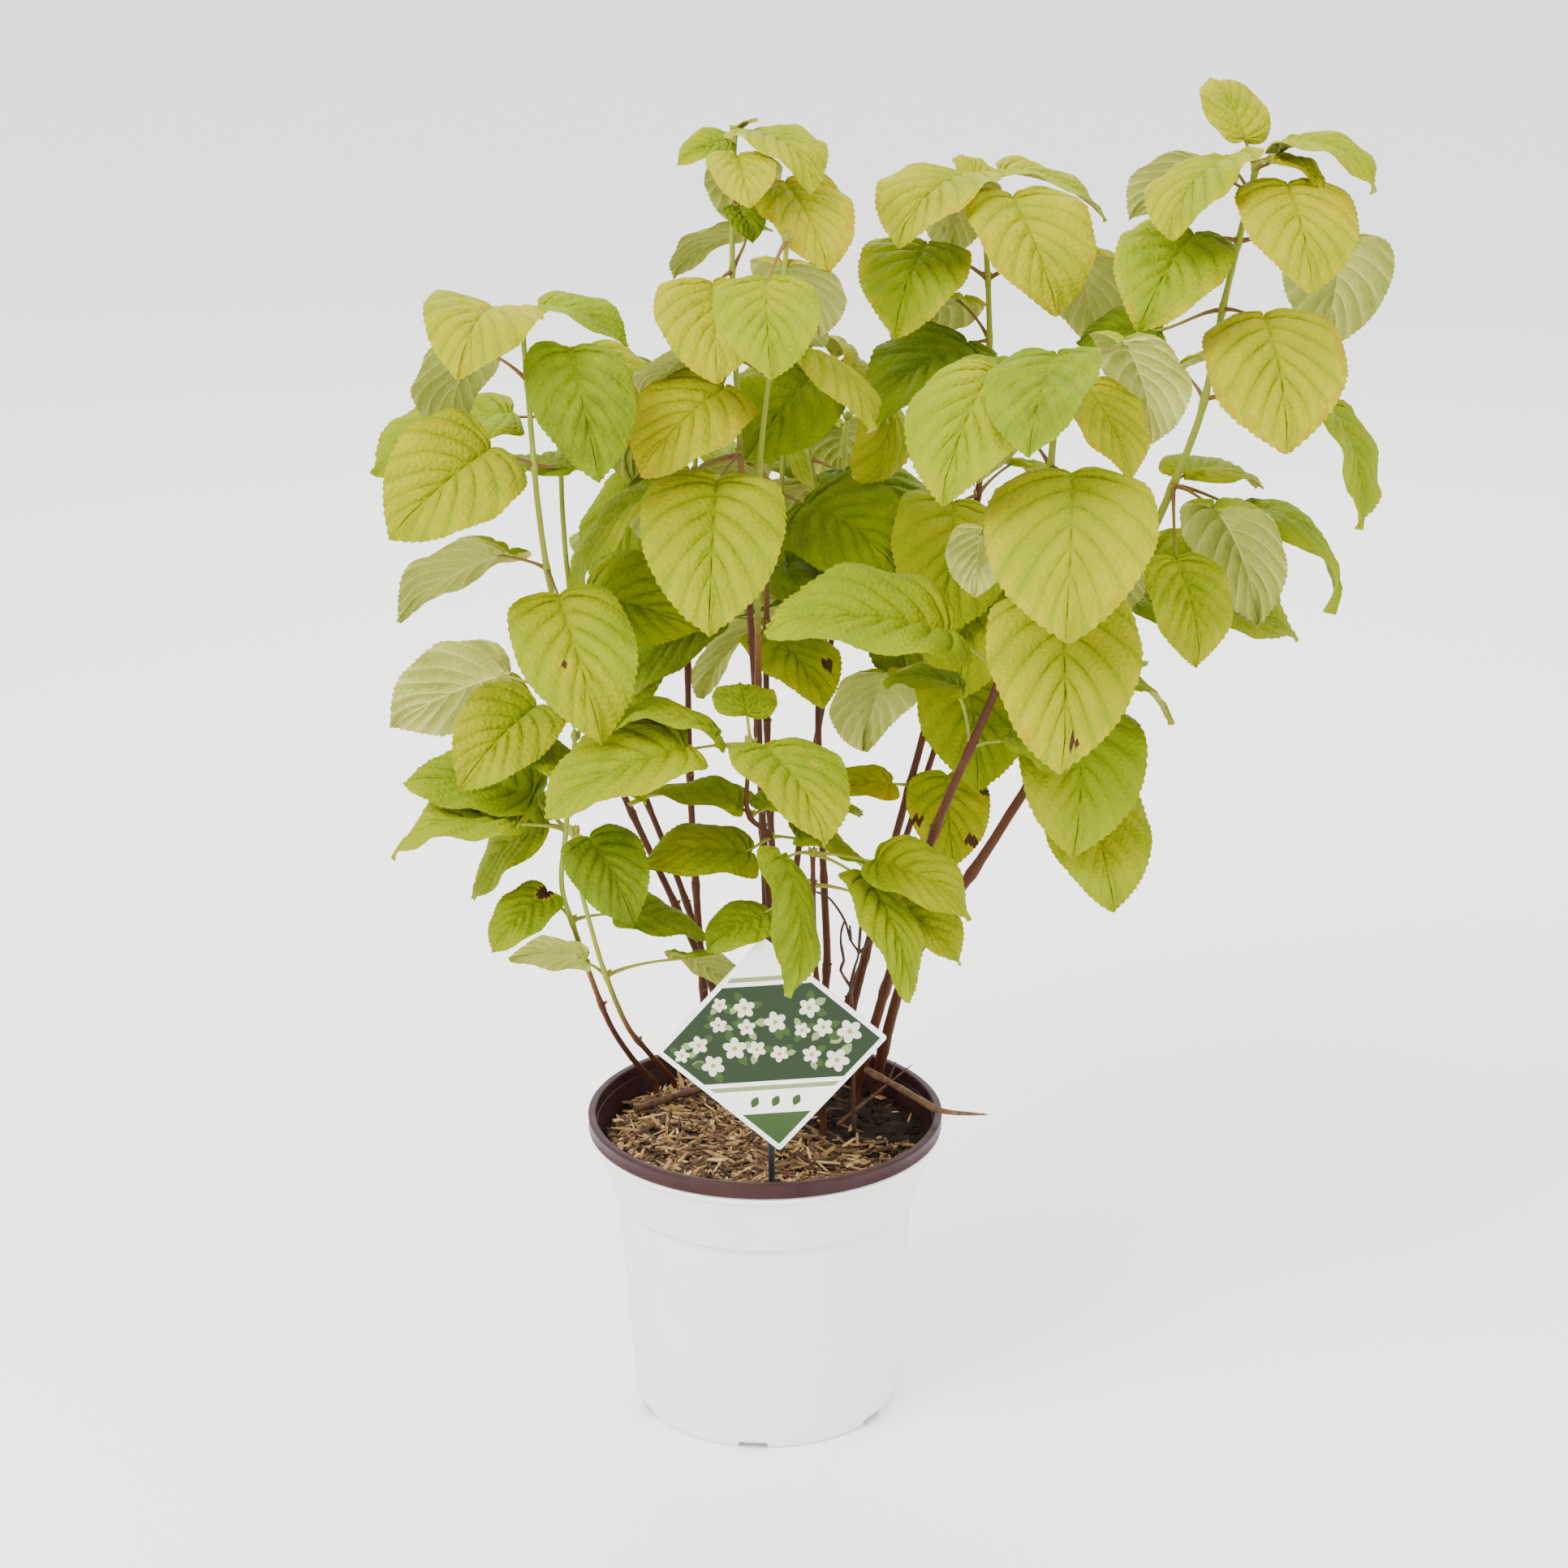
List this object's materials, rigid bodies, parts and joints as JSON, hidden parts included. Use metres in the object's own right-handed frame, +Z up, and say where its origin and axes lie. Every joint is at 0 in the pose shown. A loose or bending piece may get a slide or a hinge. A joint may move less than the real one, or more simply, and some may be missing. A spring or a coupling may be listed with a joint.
{
  "type": "potted hydrangea shrub",
  "caption": "Leafy potted shrub: slim canes with pairs of broad pointed leaves, standing in a round two-colour nursery pot with mulch and a square plant label on a stick.",
  "frame": {"origin": "centre of the pot's flat underside, on the surface that the pot stands on", "axes": "+Z up along the pot's axis, -Y towards the side that carries the label, +X to the right of that side"},
  "size_m": [0.63, 0.4917, 0.8608],
  "materials": {
    "pot_white": "satin white moulded plastic",
    "pot_brown": "satin plum-brown moulded plastic",
    "mulch": "loose wood chips over dark compost",
    "tag_card": "printed plastic card",
    "tag_stick": "dark satin plastic",
    "bark": "brown woody stem, greener towards the tips",
    "foliage": "soft matt yellow-green leaf"
  },
  "bodies": {
    "root": {"cane_centre_back": "bark", "cane_centre_front": "bark", "cane_centre_tall": "bark", "cane_front_low_a": "bark", "cane_front_low_b": "bark", "cane_left_back": "bark", "cane_left_low_a": "bark", "cane_left_low_b": "bark", "cane_left_tall": "bark", "cane_mid_back": "bark", "cane_rear_left": "bark", "cane_rear_mid": "bark", "cane_rear_right": "bark", "cane_right_front": "bark", "cane_right_mid": "bark", "cane_right_tall": "bark", "foliage_centre_back": "foliage", "foliage_centre_front": "foliage", "foliage_centre_tall": "foliage", "foliage_front_low_a": "foliage", "foliage_front_low_b": "foliage", "foliage_left_back": "foliage", "foliage_left_low_a": "foliage", "foliage_left_low_b": "foliage", "foliage_left_tall": "foliage", "foliage_mid_back": "foliage", "foliage_rear_left": "foliage", "foliage_rear_mid": "foliage", "foliage_rear_right": "foliage", "foliage_right_front": "foliage", "foliage_right_mid": "foliage", "foliage_right_tall": "foliage", "lying_stub": "bark", "old_twig": "bark", "pot": "pot_white", "pot_lining": "pot_brown", "pruned_branch": "bark", "soil": "mulch", "tag": "tag_card", "tag_stick": "tag_stick", "thin_spur": "bark"}
  },
  "joints": []
}
